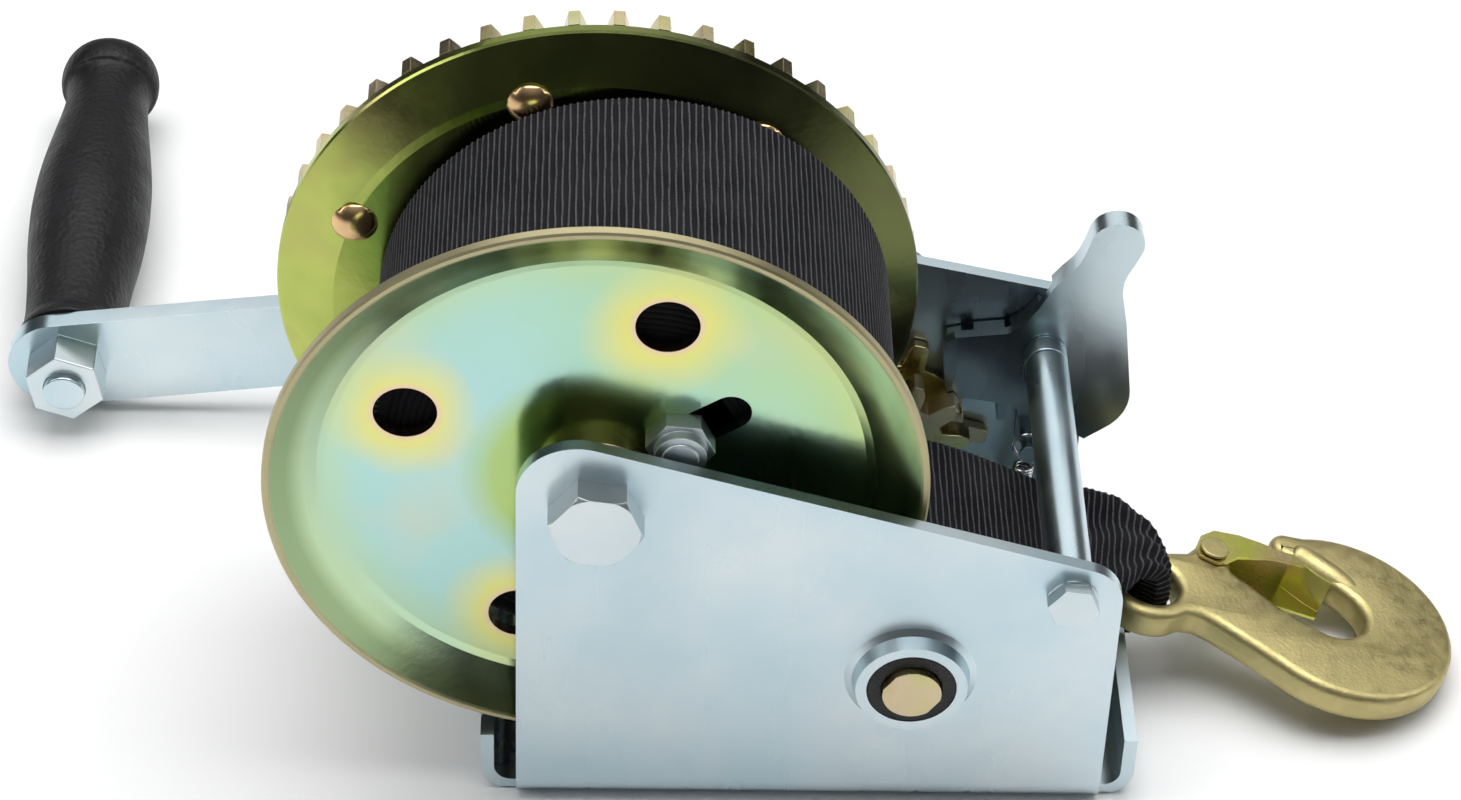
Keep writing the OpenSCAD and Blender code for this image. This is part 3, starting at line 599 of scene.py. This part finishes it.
def rib_height(distance, y):
    """Height of the webbing's surface, from 0 to 1, at a distance along the strap and at y. The
    ridges sway a little, each in its own way."""
    number = distance / RIB
    k = round(number)
    sway = 0.05 * math.sin(0.33 * y + 1.9 * k) + 0.03 * math.sin(0.8 * y + 3.7 * k)
    return math.exp(-((number - k + sway) / 0.2) ** 2)


def outer_turn():
    """The last turn on the drum, ribbed, with rounded edges that reach down into the roll."""
    ribs = round(2 * math.pi * roll_r / RIB)
    around = ribs * 8
    turn = 2 * math.pi / around
    # Points across the webbing: place in Y, and how far below the surface it lies
    across = [(roll_y0, 2.6), (roll_y0, 0.5), (roll_y0 + 0.35, 0.12)]
    across += [(roll_y0 + 1.2 + (roll_y1 - roll_y0 - 2.4) * k / 15, 0.0) for k in range(16)]
    across += [(roll_y1 - 0.35, 0.12), (roll_y1, 0.5), (roll_y1, 2.6)]
    verts, heights = [], []
    for i in range(around):
        c, s = math.cos(turn * i), math.sin(turn * i)
        for y, drop in across:
            h = rib_height(i * ribs * RIB / around, y) if drop < 2 else 0.0
            r = roll_r - RIDGE * (1 - h) - drop
            verts.append((roll_axis[0] + r * c, y, roll_axis[1] + r * s))
            heights.append(h)
    strap_piece("strap_outer_turn", verts, grid_faces(around, len(across), True, True), "drum",
                ["strap_roll"], heights)


def inner_turns():
    """The turns below, whose rounded edges show as rings in the roll's two sides."""
    pitch = (roll_r - 2.0 - HUB_R) / LAYERS
    side = []
    for k in range(LAYERS):
        r = HUB_R + (roll_r - 2.0 - HUB_R) * k / LAYERS
        side += [(r, 0.55), (r + 0.15 * pitch, 0.1), (r + 0.5 * pitch, 0.0),
                 (r + 0.85 * pitch, 0.1)]
    profile = [(r, roll_y0 + 0.1 + d) for r, d in side]
    profile += [(r, roll_y1 - 0.1 - d) for r, d in reversed(side)]
    verts, faces = lathe(profile, *roll_axis, 120)
    strap_piece("strap_inner_turns", verts, faces, "drum", ["strap_roll"], None)


def strip(name, way, half_widths, centers, shapes, body, stands_for):
    """A ribbed strap along a way in X and Z. half_widths and centers say, for each point, its half
    width and its middle in Y. shapes says how high its lengthwise folds stand, how thick it is
    gathered, and how far its far edge stands above its middle."""
    verts, heights = [], []
    for side in (1, -1):
        for i, (x, z) in enumerate(way):
            nx, nz = normal_at(way, i)
            fold, thick, lean = shapes[i]
            flat = 0.9 - 0.07 * (thick - STRAP_T)      # share of the width that isn't rounded off
            for j in range(STRIP_COLS):
                t = 2 * j / (STRIP_COLS - 1) - 1
                rib = rib_height(i * STEP, HALF_WIDTH * t)
                edge = (thick / 2 - STRIP_EDGE) * max(0.0, (abs(t) - flat) / (1 - flat)) ** 2
                h = (fold * math.cos(t * math.pi * FOLDS) + lean * t
                     + side * (thick / 2 - edge + RIDGE * (rib - 1)))
                verts.append((x + nx * h, centers[i] + half_widths[i] * t, z + nz * h))
                heights.append(rib)
    count, cols = len(way), STRIP_COLS
    top = grid_faces(count, cols)
    low = count * cols
    faces = [tuple(reversed(f)) for f in top] + [tuple(v + low for v in f) for f in top]
    for i in range(count - 1):
        a, b = i * cols, (i + 1) * cols
        faces.append((a, a + low, b + low, b))
        faces.append((a + cols - 1, b + cols - 1, b + cols - 1 + low, a + cols - 1 + low))
    for j in range(cols - 1):
        faces.append((j, j + 1, j + 1 + low, j + low))
        a = (count - 1) * cols + j
        faces.append((a, a + low, a + 1 + low, a + 1))
    strap_piece(name, verts, faces, body, stands_for, heights)


def along(points, stops):
    """A value for each point of a way, from stops of (distance along the way, value)."""
    out, run = [], 0.0
    for i, p in enumerate(points):
        if i:
            run += math.dist(p, points[i - 1])
        k = 0
        while k < len(stops) - 2 and run > stops[k + 1][0]:
            k += 1
        (d0, v0), (d1, v1) = stops[k], stops[k + 1]
        t = min(1.0, max(0.0, (run - d0) / (d1 - d0)))
        t = t * t * (3 - 2 * t)
        out.append(v0 + (v1 - v0) * t)
    return out


def roll_end():
    """The stretch that leaves the roll and still turns with the drum."""
    way = [(-30, 33.4), (-20, 37), (-12, 41.2), (-4, 45.6), (4, 49.4), (9, 51.3)]
    line = [p for p in even_line(smooth_line(way, 8), STEP)
            if math.dist(p, roll_axis) > roll_r - 0.6 and math.dist(p, drum_axis) < sweep - 0.2]
    n = len(line)
    strip("strap_end_of_roll", line, [(roll_y1 - roll_y0) / 2] * n, [(roll_y0 + roll_y1) / 2] * n,
          [(0, STRAP_T, 0)] * n, "drum", ["strap_lap"])


def free_strap():
    """The stretch over the front lip, round through the hook's eye and back to its stitching."""
    way = [(4, 49.4), (9, 51.3), (14, 52.7), (20, 53.4), (27, 52.6), (34, 50.2), (42, 46.6),
           (50, 42.6), (57, 39.6), (63, 37.6), (68, 36.4), (73, 35.4), (77.2, 33.6),
           (79.8, 30.2), (80.4, 25.8), (80, 21.2), (77.6, 16.9), (73, 14.9), (67, 14.6),
           (61.6, 17), (58.4, 23), (56.4, 30), (52.6, 36), (46, 41.3)]
    line = [p for p in even_line(smooth_line(way, 8), STEP)
            if math.dist(p, drum_axis) > sweep + 0.4]
    # The two edges' places in Y: full width, then gathered in the eye, then wide again
    near = along(line, [(0, roll_y0), (38, roll_y0), (52, -18.5), (60, -16), (68, -10.5),
                        (74, -5.5), (79, -3.2), (104, -3.2), (114, -12), (122, -18),
                        (150, roll_y0)])
    far = along(line, [(0, roll_y1), (38, roll_y1), (50, 18.6), (60, 17.6), (66, 16),
                       (72, 12), (78, 8.1), (82, 8.0), (104, 8.0), (112, 16), (122, 18.4),
                       (150, roll_y1)])
    fold = along(line, [(0, 0), (50, 0), (60, 0.9), (72, 0.8), (79, 0.6), (103, 0.6),
                        (112, 0.4), (124, 0)])
    thick = along(line, [(0, STRAP_T), (50, STRAP_T), (60, 3), (70, 5.4), (77, 6.8), (90, 6.8),
                         (100, 6), (110, 3.4), (122, STRAP_T), (150, STRAP_T)])
    lean = along(line, [(0, 0), (46, 0), (58, 2.4), (66, 3), (78, 0), (150, 0)])
    strip("strap_to_hook", line, [(f - a) / 2 for a, f in zip(near, far)],
          [(f + a) / 2 for a, f in zip(near, far)], list(zip(fold, thick, lean)), "frame",
          ["strap_tail"])


outer_turn()
inner_turns()
roll_end()
free_strap()

# ---------------------------------------------------------------- hook

# Where the CAD puts the hook, whose eye is the origin of its own drawing
HOOK_TILT = math.radians(13.4)
HOOK_PLACE = (Matrix.Translation((0.0776, 0.0025, 0.0176116))
              @ Matrix.Rotation(HOOK_TILT, 4, "Y"))
HOOK_T, HOOK_ROUNDING = 8, 2.2
EYE_R = 7.2
NOSE_R = (4.1, 5.2)  # the nose's half width across the hook and through it


def hook_body():
    """The forged body and its eye, with rounder edges than the CAD solid."""
    outer = arc(0, 0, 12, 68, 296, 40)
    outer += [(8.4, -8.6), (11.5, -8.3), (15, -9.8), (22, -14.4), (29, -19.2)]
    outer += arc(48, 0, 26.7, 230, 466, 60)
    outer += arc(36.5, 21.8, 4, 106, 240, 12)
    inner = smooth_line([(34.6, 18.4), (37.5, 16.6), (43.5, 13), (49, 8.9)], 4)
    inner += arc(45, 1.5, 8.2, 50, -85, 20)[1:]
    inner += smooth_line([(43, -6.3), (37, -3.3), (31, 0.5), (25.5, 5.4), (21.5, 8.6), (21.2, 12)],
                         4)
    inner += arc(16.5, 12, 5, 20, 130, 8)
    inner += [(10.5, 12.6)]
    eye = list(reversed(arc(0, 0, EYE_R, 0, 352.5, 47)))
    mesh = outline_mesh("hook_body", [outer + inner, eye], HOOK_T, HOOK_ROUNDING)
    mesh.transform(HOOK_PLACE)
    finish_piece(mesh, "hook_body", "hook", ["hook"], "hook_zinc")


def hook_nose():
    """The tip of the hook, forged rounder than its body."""
    way = even_line(smooth_line([(36.4, 21.9), (41.2, 18.8), (46.4, 15.2), (51.2, 11.6),
                                 (54.6, 7.6)], 8), 0.8)
    rows, sides = len(way), 28
    verts = []
    for i, (x, y) in enumerate(way):
        nx, ny = normal_at(way, i)
        t = i / (rows - 1)
        swell = min(1, math.sin(math.pi * min(1, 0.06 + t * 6) / 2)) * (1 - t ** 4) ** 0.5 + 0.02
        for k in range(sides):
            a = 2 * math.pi * k / sides
            across, up = NOSE_R[0] * swell * math.cos(a), NOSE_R[1] * swell * math.sin(a)
            verts.append((x + nx * across, y + ny * across, HOOK_T / 2 + up))
    mesh = to_mesh("hook_nose", verts, tube_faces(rows, sides))
    mesh.transform(HOOK_PLACE)
    finish_piece(mesh, "hook_nose", "hook", ["hook"], "hook_zinc")


hook_body()
hook_nose()

# ---------------------------------------------------------------- spring and grip

# The frame's post, and the way from it to the pawl's pin
POST_X, POST_Y, POST_Z = 50.1445, 32.4, 17.0997
SPRING_REACH = 22.5
SPRING_LEAN = math.radians(5.25)
WIRE_R, WIRE_SIDES = 0.5, 8
POST_BEND_R, COIL_R, PIN_BEND_R = 2.65, 2.05, 3.4
BEND_STEPS = 27      # steps round the spring's two end bends
COIL_TURNS = 11
COIL_STEPS = 16      # steps to each turn
COIL_START = 5.2     # from the post to the first turn
COIL_ENDS = 11.4     # how much of the reach isn't coil


def wire(name, points, body, stands_for, slot_name):
    """Round wire along points in millimetres."""
    verts = []
    normal = Vector((0, 0, 1))
    for i, p in enumerate(points):
        ahead = Vector(points[min(i + 1, len(points) - 1)]) - Vector(points[max(i - 1, 0)])
        ahead.normalize()
        normal = normal - ahead * normal.dot(ahead)
        if normal.length < 1e-6:
            normal = ahead.orthogonal()
        normal.normalize()
        other = ahead.cross(normal)
        for k in range(WIRE_SIDES):
            a = 2 * math.pi * k / WIRE_SIDES
            verts.append(tuple(Vector(p) + (normal * math.cos(a) + other * math.sin(a)) * WIRE_R))
    mesh = to_mesh(name, verts, tube_faces(len(points), WIRE_SIDES))
    finish_piece(mesh, name, body, stands_for, slot_name)


def pawl_spring():
    """The pawl's spring, drawn up from the frame's post and leaned to the pawl's pin."""
    points = []
    for k in range(BEND_STEPS + 1):                      # hook round the post
        a = math.radians(300 - 330 * k / BEND_STEPS)
        points.append((POST_BEND_R * math.sin(a), 0.35 * k / BEND_STEPS,
                       POST_BEND_R * math.cos(a)))
    steps = COIL_TURNS * COIL_STEPS
    for k in range(steps + 1):
        a = 2 * math.pi * k / COIL_STEPS
        points.append((COIL_R * math.cos(a), COIL_R * math.sin(a),
                       COIL_START + (SPRING_REACH - COIL_ENDS) * k / steps))
    for k in range(BEND_STEPS + 1):                      # eye round the pin
        a = math.radians(-150 + 320 * k / BEND_STEPS)
        points.append((PIN_BEND_R * math.sin(a), 0.0, SPRING_REACH + PIN_BEND_R * math.cos(a)))
    c, s = math.cos(SPRING_LEAN), math.sin(SPRING_LEAN)
    placed = [(POST_X + x * c + z * s, POST_Y + y, POST_Z - x * s + z * c) for x, y, z in points]
    wire("pawl_spring_coil", placed, "spring", ["pawl_spring"], "spring_wire")


def grip_piece():
    """The grip, with a finer outline than the CAD solid."""
    lo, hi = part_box("grip")
    x, z = (lo.x + hi.x) / 2 / MM, (lo.z + hi.z) / 2 / MM
    y0 = lo.y / MM
    outside = smooth_line([(13.4, 0.0), (13.5, 0.8), (13.1, 2.6), (12.35, 5), (12.2, 9), (12.3, 14),
                           (13.2, 26), (14.4, 38), (14.97, 50), (14.9, 58), (14.3, 68), (12.9, 80),
                           (11.4, 91), (10.75, 98), (10.7, 102), (11.2, 104.3), (12.3, 105.6),
                           (12.8, 108), (12.6, 111), (11.7, 113.6), (10.2, 114.8), (9.4, 115)], 5)
    inside = [(8.6, 114.4), (8.6, 108.2), (5.15, 108.2), (5.15, 0.0)]
    verts, faces = lathe([(r, y0 + y) for r, y in outside + inside], x, z, 72)
    obj = finish_piece(to_mesh("grip_body", verts, faces), "grip_body", "grip", ["grip"],
                       "grip_plastic")
    obj.data.set_sharp_from_angle(angle=math.radians(50))


pawl_spring()
grip_piece()

# ---------------------------------------------------------------- floor

FLOOR_REACH = 4      # metres each way
corners = [(x * FLOOR_REACH, y * FLOOR_REACH, 0) for x, y in ((-1, -1), (1, -1), (1, 1), (-1, 1))]
floor_mesh = bpy.data.meshes.new("floor")
floor_mesh.from_pydata(corners, [], [(0, 1, 2, 3)])
floor = bpy.data.objects.new("floor", floor_mesh)
scene.collection.objects.link(floor)
floor_look = Look("floor", (0.86, 0.86, 0.86), roughness=0.9)
floor_look.link(floor_look.mix(floor_look.noise(3, 2), (0.85, 0.85, 0.85), (0.87, 0.87, 0.87)),
                "Base Color")
floor.data.materials.append(floor_look.material)
